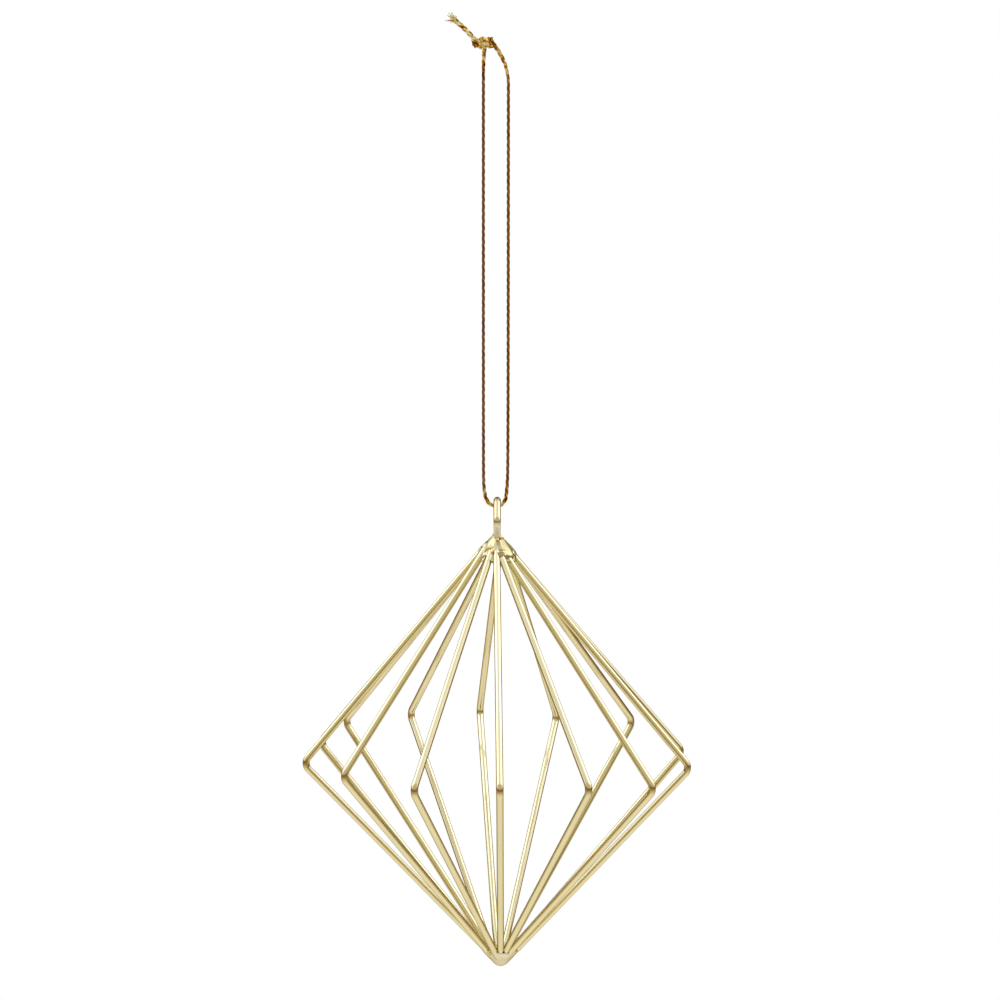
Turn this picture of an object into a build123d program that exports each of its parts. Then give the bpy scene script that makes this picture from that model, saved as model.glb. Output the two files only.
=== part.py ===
from build123d import *
from math import asin, atan2, cos, degrees, radians, sin, sqrt, tan
import os

# Hanging ornament: a diamond-shaped cage of bent wires, brazed together above and below,
# with a wire eye on top and a twisted cord through the eye, tied in a knot.
# All lengths are in millimetres. The origin is the inside top of the cord loop, where a hook
# takes it. +Z is up, and -Y faces the viewer. Bearings turn from -Y towards +X.

# Cage wires
wire_diameter = 1.8
rib_count = 14
knee_reach = 51.3
upper_height = 57.8
lower_height = 56.5
knee_bend_radius = 2.4
rib_tip_reach = 1.2

# Unevenness of the hand-bent wires, one share for each: the bearing's as a share of the
# even pitch, the others as shares of the wire's diameter
bearing_shares = [0.03, 0.04, -0.03, -0.05, 0.13, 0.22, 0.28, 0.21, 0.08, 0.07, -0.39, 0.0, 0.08, 0.07]
knee_lift_shares = [1.1, 0.5, -1.1, -0.6, -1.6, 0.3, -0.5, 0.2, 0.3, 0.9, -1.0, -0.1, 0.8, 0.5]
top_aside_shares = [-0.1, -0.6, -0.6, 0.1, 0.2, -0.6, -0.7, -0.6, -0.6, 0.4, 0.3, -0.5, -0.5, 0.0]
bottom_aside_shares = [0.5, 0.0, -0.6, 0.0, 0.4, 0.2, -0.4, -0.1, 0.4, 0.0, 0.5, -0.1, -0.2, 0.6]

# Mitres where neighbouring wires close up, as shares of the run and of the wire's diameter
mitre_length_share = 0.4
mitre_size_share = 6.0

# Braze beads
braze_reach = 2.2
seat_width_share = 2.5
bowl_radius = 2.4
collar_lip = 0.25
collar_height = 0.5
collar_waist = 0.37
bead_depth = 4.4
bead_crown = 3.1

# Hanging eye: a small diamond of one wire, with its two feet side by side in the upper bead
eye_bend_radius = 1.6
eye_height = 8.8
eye_reach = 4.8
eye_knee_drop = 4.85
foot_reach = 1.1
foot_drop = 0.6
foot_depth = 1.95

# Cord
cord_diameter = 0.85
cord_play = 0.15

# The cord's route, as x and z, from the knot down the left leg, through the eye and up again
cord_route = [
    (-3.1, 2.1),
    (-3.45, -2.4),
    (-3.7, -111.3),
    (-1.1, -116.4),
    (1.05, -116.4),
    (2.87, -111.9),
    (2.86, -6.1),
    (1.5, -1.45),
    (-1.25, 2.3),
]
upper_tail_route = [(-4.6, 1.9), (-6.4, 3.7), (-8.5, 6.3), (-10.35, 8.9)]
lower_tail_route = [(-5.4, 1.4), (-7.15, 3.2), (-9.3, 5.6), (-11.5, 7.8)]
run_share = 0.45

# Knot: three lobes in a row, each a pass of the doubled cord
knot_x = -3.55
knot_z = 2.05
knot_tilt = -6.0
lobe_diameter = 3.2
lobe_place_shares = [-0.55, 0.0, 0.53]
lobe_size_shares = [0.92, 1.0, 0.88]

# Values that follow from those above
wire_radius = wire_diameter / 2
cord_radius = cord_diameter / 2
cord_level = min(z for x, z in cord_route)
wrap_radius = cord_radius + cord_play + wire_radius
eye_level = cord_level + wrap_radius
top_level = eye_level - eye_height
knee_level = top_level - upper_height
bottom_level = knee_level - lower_height


def largest(shape):
    """The biggest solid of a shape that a cut may have left in pieces."""
    return max(shape.solids(), key=lambda solid: solid.volume)


def round_rod(path, radius):
    """A round rod or cord along a path."""
    return sweep(sections=Plane(origin=path @ 0, z_dir=path % 0) * Circle(radius), path=path)


def share_of(shares, index):
    """One wire's own share, used in turn if there are more wires than shares."""
    return shares[index % len(shares)]


def rib_corners(index):
    """Upper aim, bend corner and lower aim of one cage wire's centre line."""
    turn = radians((index + share_of(bearing_shares, index)) * 360 / rib_count)
    outward = Vector(sin(turn), -cos(turn), 0)
    sideways = Vector(cos(turn), sin(turn), 0)
    lift = share_of(knee_lift_shares, index) * wire_diameter
    top_aside = share_of(top_aside_shares, index) * wire_diameter
    bottom_aside = share_of(bottom_aside_shares, index) * wire_diameter
    top = sideways * top_aside + Vector(0, 0, top_level)
    knee = outward * knee_reach + Vector(0, 0, knee_level + lift)
    bottom = sideways * bottom_aside + Vector(0, 0, bottom_level)
    return top, knee, bottom


def rib_rod(corners):
    """The whole wire: two straight runs and the bend between them."""
    top, knee, bottom = corners
    tip_share = rib_tip_reach / knee_reach
    upper_tip = top + (knee - top) * tip_share
    lower_tip = bottom + (knee - bottom) * tip_share
    return round_rod(FilletPolyline(upper_tip, knee, lower_tip, radius=knee_bend_radius), wire_radius)


def mitre_block(corners, neighbour, end, side):
    """The block beyond the plane midway to a neighbour, at one end of the wires."""
    aim = (corners[end] + neighbour[end]) / 2
    knees = (corners[1] + neighbour[1]) / 2
    along = knees - aim
    across = (neighbour[1] - corners[1]) * side
    normal = across - along * (across.dot(along) / along.dot(along))
    length = along.length * mitre_length_share
    size = wire_diameter * mitre_size_share
    block = Box(length + size, size, size, align=(Align.MIN, Align.CENTER, Align.MIN))
    return Plane(origin=aim, x_dir=along, z_dir=normal * side) * Pos(-size, 0, 0) * block


def seat_cone(height, level, side):
    """The cone whose face is square to the wires where they end on a bead; side is 1 for a
    cone that opens upwards, -1 for one that opens downwards."""
    slope = atan2(knee_reach, height)
    run = braze_reach / sin(slope)
    width = braze_reach * seat_width_share
    tip = level - side * run / cos(slope)
    cone = Cone(0, width, width * tan(slope), align=(Align.CENTER, Align.CENTER, Align.MIN))
    return Pos(0, 0, tip) * (Rot(0, 0 if side > 0 else 180, 0) * cone)


def top_braze():
    """Bead that holds the upper wire ends and the feet of the eye, with a low flared collar."""
    slope = atan2(knee_reach, upper_height)
    run = braze_reach / sin(slope)
    outer = (braze_reach + wire_radius * cos(slope), top_level - run * cos(slope) + wire_radius * sin(slope))
    inner = (braze_reach - wire_radius * cos(slope), top_level - run * cos(slope) - wire_radius * sin(slope))
    crown_level = top_level - bead_depth
    lip = (wire_radius + collar_lip, top_level + collar_height)
    waist = (wire_radius + collar_waist, top_level + collar_height / 3)
    flare_reach = (lip[0] + outer[0]) / 2
    flare = (flare_reach, top_level - (flare_reach - wire_radius / cos(slope)) / tan(slope))
    crown_radius = (inner[0] ** 2 + (inner[1] - crown_level) ** 2) / (2 * (inner[1] - crown_level))
    half = atan2(inner[1] - crown_level, inner[0])
    crown = (crown_radius * sin(half), crown_level + crown_radius * (1 - cos(half)))
    outline = (
        Line((0, lip[1]), lip)
        + ThreePointArc(lip, waist, flare)
        + Line(flare, outer)
        + Line(outer, inner)
        + ThreePointArc(inner, crown, (0, crown_level))
        + Line((0, crown_level), (0, lip[1]))
    )
    return revolve(Plane.XZ * make_face(outline), Axis.Z)


def bottom_braze():
    """Bead that closes the cage below: a smooth round bowl with a low crown inside."""
    slope = atan2(knee_reach, lower_height)
    run = braze_reach / sin(slope)
    outer = (braze_reach + wire_radius * cos(slope), bottom_level + run * cos(slope) - wire_radius * sin(slope))
    inner = (braze_reach - wire_radius * cos(slope), bottom_level + run * cos(slope) + wire_radius * sin(slope))
    centre_level = bottom_level + (bowl_radius - wire_radius) / sin(slope)
    tangent = (bowl_radius * cos(slope), centre_level - bowl_radius * sin(slope))
    half = (90 + degrees(slope)) / 2
    middle = (bowl_radius * cos(radians(half)), centre_level - bowl_radius * sin(radians(half)))
    crown_level = bottom_level + bead_crown
    outline = (
        ThreePointArc((0, centre_level - bowl_radius), middle, tangent)
        + Line(tangent, outer)
        + Line(outer, inner)
        + Line(inner, (0, crown_level))
        + Line((0, crown_level), (0, centre_level - bowl_radius))
    )
    return revolve(Plane.XZ * make_face(outline), Axis.Z)


def hanging_eye():
    """One wire bent into a small diamond: a foot, a bend to the front, a bend over the cord, a
    bend at the back and the other foot. The bend over the cord touches the eye's level."""
    reach = sqrt(eye_reach**2 + (eye_knee_drop - eye_bend_radius) ** 2)
    lean = atan2(eye_reach, eye_knee_drop - eye_bend_radius) - asin(eye_bend_radius / reach)
    half = [
        (foot_reach, top_level - foot_depth),
        (foot_reach, top_level - foot_drop),
        (eye_reach, eye_level - eye_knee_drop),
    ]
    crown = (0, eye_level - eye_bend_radius + eye_bend_radius / sin(lean))
    corners = [(-y, z) for y, z in half] + [crown] + half[::-1]
    path = FilletPolyline(*[Vector(0, y, z) for y, z in corners], radius=eye_bend_radius)
    return round_rod(path, wire_radius)


def cord_radii(points, tight_radius, tight_corners):
    """A radius for each corner: the wrap's at the corners under the eye, and elsewhere
    as large as the two runs allow."""
    radii = []
    for corner in range(1, len(points) - 1):
        before = points[corner] - points[corner - 1]
        after = points[corner + 1] - points[corner]
        half_turn = radians(before.get_angle(after) / 2)
        widest = run_share * min(before.length, after.length) / tan(half_turn)
        radii.append(min(widest, tight_radius) if corner in tight_corners else widest)
    return radii


def cord_tube(name, route, tight_radius=0, tight_corners=()):
    """A length of cord along a route given as x and z."""
    points = [Vector(x, 0, z) for x, z in route]
    radii = cord_radii(points, tight_radius, tight_corners)
    path = FilletPolyline(*points, radius=radii)
    print(name, "length", round(path.length, 1), "radii", [round(radius, 1) for radius in radii])
    return round_rod(path, cord_radius)


def cord_knot():
    """The tied knot: round lobes side by side, the right one highest."""
    knot = None
    for place, size in zip(lobe_place_shares, lobe_size_shares):
        lobe = Pos(lobe_diameter * place, 0, 0) * Sphere(lobe_diameter * size / 2)
        knot = lobe if knot is None else knot + lobe
    return Pos(knot_x, 0, knot_z) * Rot(0, knot_tilt, 0) * knot


parts = {}
upper_bead = top_braze()
lower_bead = bottom_braze()
parts["hanging_eye"] = hanging_eye()
parts["top_braze"] = upper_bead - parts["hanging_eye"]
parts["bottom_braze"] = lower_bead

seats = [seat_cone(upper_height, top_level, 1), seat_cone(lower_height, bottom_level, -1)]
corners_of = [rib_corners(index) for index in range(rib_count)]
for index, corners in enumerate(corners_of):
    rib = rib_rod(corners)
    for side in (1, -1):
        neighbour = corners_of[(index + side) % rib_count]
        for end in (0, 2):
            rib -= mitre_block(corners, neighbour, end, side)
    parts[f"rib_{index + 1:02d}"] = largest(rib - seats[0] - seats[1])

knot = cord_knot()
parts["cord_knot"] = knot
parts["hanging_cord"] = largest(cord_tube("hanging_cord", cord_route, wrap_radius, (3, 4)) - knot)
parts["cord_tail_upper"] = largest(cord_tube("cord_tail_upper", upper_tail_route) - knot)
parts["cord_tail_lower"] = largest(cord_tube("cord_tail_lower", lower_tail_route) - knot)

os.makedirs("parts", exist_ok=True)
for name, shape in parts.items():
    export_step(shape, f"parts/{name}.step")
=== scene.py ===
import math

import bpy
import numpy as np
from mathutils import Matrix, Vector


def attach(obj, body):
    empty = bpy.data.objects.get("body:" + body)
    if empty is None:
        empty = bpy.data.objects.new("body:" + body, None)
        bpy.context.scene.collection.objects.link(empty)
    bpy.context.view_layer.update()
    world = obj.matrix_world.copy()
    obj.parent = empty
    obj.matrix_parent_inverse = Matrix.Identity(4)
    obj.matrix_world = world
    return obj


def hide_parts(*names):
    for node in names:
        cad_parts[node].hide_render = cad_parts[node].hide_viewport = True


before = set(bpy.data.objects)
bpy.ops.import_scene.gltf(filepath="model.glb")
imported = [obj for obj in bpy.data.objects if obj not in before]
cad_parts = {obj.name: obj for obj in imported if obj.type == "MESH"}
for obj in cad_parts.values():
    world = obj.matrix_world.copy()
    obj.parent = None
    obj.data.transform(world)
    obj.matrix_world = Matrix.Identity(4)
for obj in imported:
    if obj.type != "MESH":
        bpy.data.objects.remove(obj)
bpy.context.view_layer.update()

# Camera. It stands a little higher than the cage, looks slightly down on it, and takes in
# the cord up to the cut tails. The distance is assumed, and the pitch suits that distance.
camera_target = Vector((0.00073, 0, -0.1148))
camera_distance = 0.9
camera_pitch = math.radians(8.82)
camera_lens = 125.7
camera_data = bpy.data.cameras.new("camera")
camera_data.lens = camera_lens
camera_data.sensor_width = 36
camera_data.clip_start = 0.01
camera_data.clip_end = 50
camera = bpy.data.objects.new("camera", camera_data)
camera_ahead = Vector((0, math.cos(camera_pitch), -math.sin(camera_pitch)))
camera.rotation_euler = (math.pi / 2 - camera_pitch, 0, 0)
camera.location = camera_target - camera_distance * camera_ahead
bpy.context.collection.objects.link(camera)
bpy.context.scene.camera = camera

# Helpers for shader nodes, meshes over grids of points, lines, and smooth steps. A wire's or
# cord's UV map goes once round it in X and runs along it in millimetres in Y.
millimetres_in_metre = 1000
spline_resolution = 24


class Link:
    """An output socket of a node. Sums, differences and products of links and numbers add
    Math nodes."""

    def __init__(self, tree, socket):
        self.tree = tree
        self.socket = socket

    def math(self, operation, first, second=0.0):
        node = add_node(self.tree, "ShaderNodeMath", {"operation": operation}, {0: first, 1: second})
        return Link(self.tree, node.outputs[0])

    def __add__(self, other):
        return self.math("ADD", self, other)

    def __radd__(self, other):
        return self.math("ADD", other, self)

    def __sub__(self, other):
        return self.math("SUBTRACT", self, other)

    def __rsub__(self, other):
        return self.math("SUBTRACT", other, self)

    def __mul__(self, other):
        return self.math("MULTIPLY", self, other)

    def __rmul__(self, other):
        return self.math("MULTIPLY", other, self)

    def sine(self):
        return self.math("SINE", self)

    def absolute(self):
        return self.math("ABSOLUTE", self)

    def larger(self, other):
        """The larger of two values."""
        return self.math("MAXIMUM", self, other)

    def between(self, low, high):
        """0 below low, 1 above high, and a smooth step between them."""
        inputs = {"Value": self, "From Min": low, "From Max": high}
        node = add_node(self.tree, "ShaderNodeMapRange", {"interpolation_type": "SMOOTHSTEP"}, inputs)
        return Link(self.tree, node.outputs["Result"])


def add_node(tree, kind, settings=None, inputs=None):
    """A new node: its settings are set first, then the values or links of its sockets."""
    node = tree.nodes.new(kind)
    for key, value in (settings or {}).items():
        if key == "stops":
            for element, (place, colour) in zip(node.color_ramp.elements, value):
                element.position = place
                element.color = colour
            for place, colour in value[len(node.color_ramp.elements):]:
                node.color_ramp.elements.new(place).color = colour
        else:
            setattr(node, key, value)
    for key, value in (inputs or {}).items():
        if isinstance(value, Link):
            tree.links.new(value.socket, node.inputs[key])
        else:
            node.inputs[key].default_value = value
    return node


def out(tree, node, name):
    """One output of a node as a link."""
    return Link(tree, node.outputs[name])


def place_noise(tree, scale, detail, coordinates="Object", stretch=(1, 1, 1)):
    """Noise over the object's own coordinates, or over its UV map, stretched along each axis."""
    spot = add_node(tree, "ShaderNodeTexCoord")
    moved = add_node(
        tree, "ShaderNodeMapping", None, {"Vector": out(tree, spot, coordinates), "Scale": stretch}
    )
    noise = add_node(
        tree, "ShaderNodeTexNoise", None,
        {"Vector": out(tree, moved, "Vector"), "Scale": scale, "Detail": detail},
    )
    return out(tree, noise, "Fac")


def mesh_number(tree, name):
    """The number of this name at each point of the mesh."""
    return out(tree, add_node(tree, "ShaderNodeAttribute", {"attribute_name": name}), "Fac")


def vector_math(tree, operation, inputs, name="Vector"):
    """One output of a Vector Math node."""
    return out(tree, add_node(tree, "ShaderNodeVectorMath", {"operation": operation}, inputs), name)


def mix_colour(tree, share, first, second):
    """First colour where share is 0, second where it is 1."""
    node = add_node(tree, "ShaderNodeMix", {"data_type": "RGBA"}, {"Factor": share, 6: first, 7: second})
    return Link(tree, node.outputs[2])


def bumped(tree, height, distance):
    """The surface normal tilted by a height given in shares of distance."""
    node = add_node(
        tree, "ShaderNodeBump", None, {"Height": height, "Distance": distance, "Strength": 1.0}
    )
    return out(tree, node, "Normal")


def new_material(name, maker):
    """A material whose Principled shader takes what maker(tree) gives for its sockets."""
    material = bpy.data.materials.new(name)
    material.use_nodes = True
    tree = material.node_tree
    shader = tree.nodes["Principled BSDF"]
    for key, value in maker(tree).items():
        if isinstance(value, Link):
            tree.links.new(value.socket, shader.inputs[key])
        else:
            shader.inputs[key].default_value = value
    return material


def grid_mesh(name, points, uv, material):
    """A mesh over a grid of points, rows by columns, that is closed round its columns. Its
    quads join each point to the next row and column, and a cap closes each end row."""
    rows, columns = points.shape[:2]
    row = np.arange(rows - 1)[:, None]
    column = np.arange(columns)[None, :]
    here = row * columns + column
    beside = row * columns + (column + 1) % columns
    quads = np.stack([here, beside, beside + columns, here + columns], axis=-1).reshape(-1, 4)
    first_cap = list(range(columns))[::-1]
    last_cap = [(rows - 1) * columns + index for index in range(columns)]
    faces = quads.tolist() + [first_cap, last_cap]
    mesh = bpy.data.meshes.new(name)
    mesh.from_pydata(points.reshape(-1, 3).tolist(), [], faces)
    left = np.broadcast_to(column / columns, (rows - 1, columns))
    right = left + 1 / columns
    low = np.broadcast_to(uv[:-1, None], (rows - 1, columns))
    high = np.broadcast_to(uv[1:, None], (rows - 1, columns))
    pairs = [(left, low), (right, low), (right, high), (left, high)]
    corners = np.stack([np.stack(pair, -1) for pair in pairs], axis=2).reshape(-1, 2)
    corners = np.vstack([corners, np.zeros((columns, 2)), np.tile([0.0, uv[-1]], (columns, 1))])
    layer = mesh.uv_layers.new(name="UVMap")
    layer.data.foreach_set("uv", corners.astype(np.float32).ravel())
    mesh.polygons.foreach_set("use_smooth", [True] * len(faces))
    mesh.materials.append(material)
    mesh.update()
    piece = bpy.data.objects.new(name, mesh)
    bpy.context.collection.objects.link(piece)
    return piece


def join_pieces(name, pieces):
    """One object out of several, with their meshes as they are."""
    with bpy.context.temp_override(active_object=pieces[0], selected_editable_objects=pieces):
        bpy.ops.object.join()
    pieces[0].name = name
    pieces[0].data.name = name
    return pieces[0]


def unit(vectors):
    """Vectors scaled to a length of one."""
    return vectors / np.linalg.norm(vectors, axis=-1, keepdims=True)


def lengths_along(points):
    """The distance of each point from the start of its line."""
    return np.concatenate([[0], np.cumsum(np.linalg.norm(np.diff(points, axis=0), axis=1))])


def evenly(points, step):
    """Points along the same line, a step apart, and their distances from its start."""
    lengths = lengths_along(points)
    places = np.linspace(0, lengths[-1], max(2, int(round(lengths[-1] / step)) + 1))
    return np.stack([np.interp(places, lengths, points[:, axis]) for axis in range(3)], axis=1), places


def spline_points(name, control):
    """The smooth line of a NURBS spline with these control points."""
    data = bpy.data.curves.new(name, "CURVE")
    data.dimensions = "3D"
    spline = data.splines.new("NURBS")
    spline.points.add(len(control) - 1)
    for point, place in zip(spline.points, control):
        point.co = (*place, 1)
    spline.order_u = 3
    spline.use_endpoint_u = True
    data.resolution_u = spline_resolution
    holder = bpy.data.objects.new(name, data)
    mesh = bpy.data.meshes.new_from_object(holder)
    points = np.empty(len(mesh.vertices) * 3)
    mesh.vertices.foreach_get("co", points)
    bpy.data.objects.remove(holder)
    bpy.data.curves.remove(data)
    bpy.data.meshes.remove(mesh)
    return points.reshape(-1, 3)


def step_between(values, low, high):
    """0 below low, 1 above high, and a smooth step between them."""
    share = np.clip((values - low) / (high - low), 0, 1)
    return share * share * (3 - 2 * share)


def hump(values, middle, length):
    """1 in the middle, falling smoothly to 0 on both sides: a bell curve of this length."""
    return np.exp(-(((values - middle) / length) ** 2))


def set_number(piece, name, values):
    """A number at each point of a mesh, which a material reads as an attribute."""
    layer = piece.data.attributes.new(name, "FLOAT", "POINT")
    layer.data.foreach_set("value", np.ascontiguousarray(values, dtype=np.float32))


# Hanging cord. A limp metallic cord of three plies laid up together, each a bundle of bronze
# and gold foil threads. It runs from the knot down the left leg, through the eye and back up.
# Beside the eye and under the knot it is thicker, and its foil is painted brighter there as a highlight.
cord_diameter = 0.00085
cord_swelling = 0.35
cord_side = np.array([[0.0, 1.0, 0.0]])
eye_turn_level = -0.1166
eye_turn_length = 0.005
eye_half_width = 0.0021
eye_edge_width = 0.001
knot_swell_length = 0.0035
plain_shine = 0.08
eye_turn_shine = 0.42
knot_foot_shine = 0.38
knot_foot_level = -0.0035
knot_foot_length = 0.004
ply_count = 3
ply_width_share = 0.505
ply_lay = 0.0054
ply_step = 0.00018
ply_columns = 14
threads_in_ply = 6
thread_swell = 0.12
thread_turns = 3.0
foil_brown = (0.17, 0.056, 0.006, 1)
foil_tan = (0.40, 0.185, 0.042, 1)
foil_dark_bronze = (0.15, 0.032, 0.001, 1)
foil_bronze = (0.66, 0.25, 0.02, 1)
foil_gold = (1.0, 0.64, 0.075, 1)
foil_painted_glint = (1.0, 0.97, 0.52, 1)
foil_crease_shade = (0.07, 0.016, 0.001, 1)
cord_route = [
    (-0.0031, 0.0021), (-0.00345, -0.0024), (-0.00348, -0.0069), (-0.00355, -0.1056), (-0.00345, -0.1119),
    (-0.00285, -0.1149), (-0.0012, -0.11642), (0.00085, -0.11644), (0.00215, -0.115), (0.00252, -0.1121),
    (0.00282, -0.106), (0.00286, -0.011), (0.00286, -0.0061), (0.0015, -0.00145), (-0.00125, 0.0023),
]


def foil_cord_sockets(tree):
    """Foil threads: lines that run round each ply, in brown, bronze and gold, with pale yellow
    painted glints. The mesh's shine attribute says how much bright gold foil and painted glint
    shows, and so where the foil is painted brighter as a highlight. Painted shade darkens the
    creases between threads and the inner side of each ply."""
    spot = add_node(tree, "ShaderNodeTexCoord")
    parts = add_node(tree, "ShaderNodeSeparateXYZ", None, {0: out(tree, spot, "UV")})
    around = out(tree, parts, "X")
    along = out(tree, parts, "Y")
    shine = mesh_number(tree, "shine")
    thread = ((around * threads_in_ply - along * 0.5) * math.tau).sine()
    fine = ((around * threads_in_ply * 3 - along * 1.9) * math.tau).sine()
    tone = place_noise(tree, 1.0, 2.0, "UV", (1.1, 0.5, 1)).between(0.35, 0.65)
    small = place_noise(tree, 1.0, 1.0, "UV", (1.9, 0.8, 1))
    large = place_noise(tree, 700, 1.0)
    facet = small * 0.6 + large * 0.75 - 0.175 + (shine - 0.5) * 0.09
    plain = mix_colour(tree, tone, foil_brown, foil_tan)
    bronze = mix_colour(tree, facet.between(0.39, 0.46), foil_dark_bronze, foil_bronze)
    gold = mix_colour(tree, facet.between(0.48, 0.53), bronze, foil_gold)
    # Painted glints: pale yellow highlights on the brightest patches.
    glint = mix_colour(tree, facet.between(0.53, 0.58), gold, foil_painted_glint)
    foil = mix_colour(tree, shine.between(0.05, 0.45), plain, glint)
    # Painted shade: darker in the creases between threads and on the inner side of each ply, but not on
    # frayed threads.
    crease_shade = 0.7 + 0.3 * (thread * 0.5 + 0.5)
    ridge_unshaded = ((around + 0.25) * math.tau).sine().between(-0.45, 0.3)
    loose = (shine - 1.1).between(0.0, 0.1)
    colour = mix_colour(tree, crease_shade * (0.5 + 0.5 * ridge_unshaded + 0.5 * loose), foil_crease_shade, foil)
    return {
        "Base Color": colour,
        "Metallic": 0.35,
        "Roughness": 0.38,
        "Specular IOR Level": 0.0,
        "Specular Tint": (0.6, 0.3, 0.06, 1),
        "Normal": bumped(tree, thread * 0.7 + fine * 0.3, 0.00003),
    }


foil_cord = new_material("foil_cord", foil_cord_sockets)


def laid_plies(name, line, side, phase, width, shine):
    """Plies wound round a line: each ply's centre circles the line once in a lay, and its
    outline is a circle with one swelling for each thread, which turns the other way. The
    angles run backwards, so that faces point outwards. Also gives the line's own points."""
    points, along = evenly(line, ply_step)
    tangent = unit(np.gradient(points, axis=0))
    across = unit(np.cross(tangent, side))
    upward = np.cross(across, tangent)
    turn = math.tau * along / ply_lay + phase
    angle = np.linspace(math.tau, 0, ply_columns, endpoint=False)
    width = np.broadcast_to(width, along.shape)[:, None]
    ply_radius = ply_width_share * width / 2
    ply_offset = (1 - ply_width_share) * width / 2
    swell = 1 + thread_swell * np.cos(threads_in_ply * angle[None, :] + thread_turns * turn[:, None])
    radius = ply_radius * swell / (1 + 0.5 * thread_swell)
    ply_shine = np.repeat(np.broadcast_to(shine, along.shape), ply_columns)
    pieces = []
    for ply in range(ply_count):
        own = turn + ply * math.tau / ply_count
        centre = points + ply_offset * (np.cos(own)[:, None] * across + np.sin(own)[:, None] * upward)
        around = own[:, None] + angle[None, :]
        ring = (
            centre[:, None, :]
            + (radius * np.cos(around))[..., None] * across[:, None, :]
            + (radius * np.sin(around))[..., None] * upward[:, None, :]
        )
        piece = grid_mesh(f"{name}_ply", ring, along * millimetres_in_metre, foil_cord)
        set_number(piece, "shine", ply_shine)
        pieces.append(piece)
    return join_pieces(name, pieces), points


cord_line = spline_points("cord_route", [(x, 0.0, z) for x, z in cord_route])
cord_places = evenly(cord_line, ply_step)[0]
near_eye = hump(cord_places[:, 2], eye_turn_level, eye_turn_length)
in_eye = np.clip((eye_half_width - np.abs(cord_places[:, 0])) / eye_edge_width, 0, 1)
near_knot = hump(cord_places[:, 2], 0.0, knot_swell_length)
cord_width = cord_diameter * (1 + cord_swelling * near_eye * (1 - in_eye) + cord_swelling * near_knot)
# Painted highlight: more gold and glint at the eye's turn and at the foot of the knot.
cord_shine = plain_shine + eye_turn_shine * near_eye
cord_shine = cord_shine + knot_foot_shine * hump(cord_places[:, 2], knot_foot_level, knot_foot_length)
cord, cord_path = laid_plies("hanging_cord_plies", cord_line, cord_side, 0.0, cord_width, cord_shine)
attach(cord, "cord")
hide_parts("hanging_cord")

# Knot. Both strands of the cord are tied in one overhand knot, pulled tight: three fat
# passes of the doubled cord, side by side, round the strands that run through the middle.
knot_centre = np.array([-0.00355, 0.0, 0.00205])
knot_tilt = math.radians(8)
knot_turns = 2.75
knot_pass_pitch = 0.00192
knot_wrap_radius = 0.00108
knot_strand_gap = 0.00078
knot_strand_width = 0.00104
knot_wrap_points = 120
knot_start_turn = 0.5
knot_unevenness = 0.10
knot_slant = 0.22
knot_slant_turn = 0.3
knot_core_points = 24
knot_core_reach = 0.0016
knot_core_gap = 0.0008
knot_shine_low = 0.35
knot_shine_gain = 0.9
knot_shine_middle = 0.0002
knot_shine_length = 0.0011
off_axis = np.array([0.0, 1e-6, 0.0])


def knot_wrap(strand):
    """A strand of the doubled cord wound round the knot's axis: a helix that dives to the
    middle at both ends, where its passes also lie closer."""
    share = np.linspace(0, 1, knot_wrap_points)
    turn = math.tau * knot_turns * share + knot_start_turn
    dive = np.minimum(1, 8 * np.minimum(share, 1 - share) + 0.2)
    radius = knot_wrap_radius * dive * (1 + knot_unevenness * np.sin(1.7 * turn + strand))
    place = (0.5 - share) * knot_turns * knot_pass_pitch * (0.72 + 0.28 * dive)
    place = place + (strand - 0.5) * knot_strand_gap * dive
    slant = -knot_slant * knot_pass_pitch * np.sin(turn + knot_slant_turn)
    return np.stack([place + slant, -radius * np.cos(turn), radius * np.sin(turn)], axis=1)


def knot_core(strand):
    """A strand that runs straight through the knot, with a slight wave."""
    share = np.linspace(-1, 1, knot_core_points)
    offset = (strand - 0.5) * knot_core_gap
    return np.stack(
        [knot_core_reach * share, offset * np.cos(2 * share), offset * np.sin(2 * share)], axis=1
    )


def knot_shine(line):
    """How bright the foil is painted, as a highlight: most in the middle of the knot."""
    return knot_shine_low + knot_shine_gain * hump(line[:, 0], knot_shine_middle, knot_shine_length)


def in_knot(points):
    """Points about the knot's own centre and axis, moved to where the knot is."""
    turned = points.copy()
    turned[:, 0] = points[:, 0] * math.cos(knot_tilt) - points[:, 2] * math.sin(knot_tilt)
    turned[:, 2] = points[:, 0] * math.sin(knot_tilt) + points[:, 2] * math.cos(knot_tilt)
    return turned + knot_centre


def resampled(values, count):
    """Rows of values along a line, taken again at another number of even places."""
    share = np.linspace(0, 1, len(values))
    wanted = np.linspace(0, 1, count)
    return np.stack([np.interp(wanted, share, column) for column in values.T], axis=1)


def knot_piece(name, points, phase):
    """One strand of the knot. Its reference side is the direction away from the knot's axis,
    with a trace of off_axis for a strand that crosses it."""
    line = evenly(points, ply_step)[0]
    moved = in_knot(line)
    count = len(evenly(moved, ply_step)[0])
    side = unit(resampled(unit(line * np.array([0, 1, 1]) + off_axis), count))
    shine = resampled(knot_shine(line)[:, None], count)[:, 0]
    return laid_plies(name, moved, side, phase, knot_strand_width, shine)[0]


knot_strands = [
    knot_piece(f"knot_{kind}_{strand}", shape(strand), turn * strand)
    for kind, shape, turn in (("wrap", knot_wrap, 1.3), ("core", knot_core, 0.7))
    for strand in (0, 1)
]
knot = join_pieces("overhand_knot", knot_strands)
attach(knot, "cord")
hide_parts("cord_knot")
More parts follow.
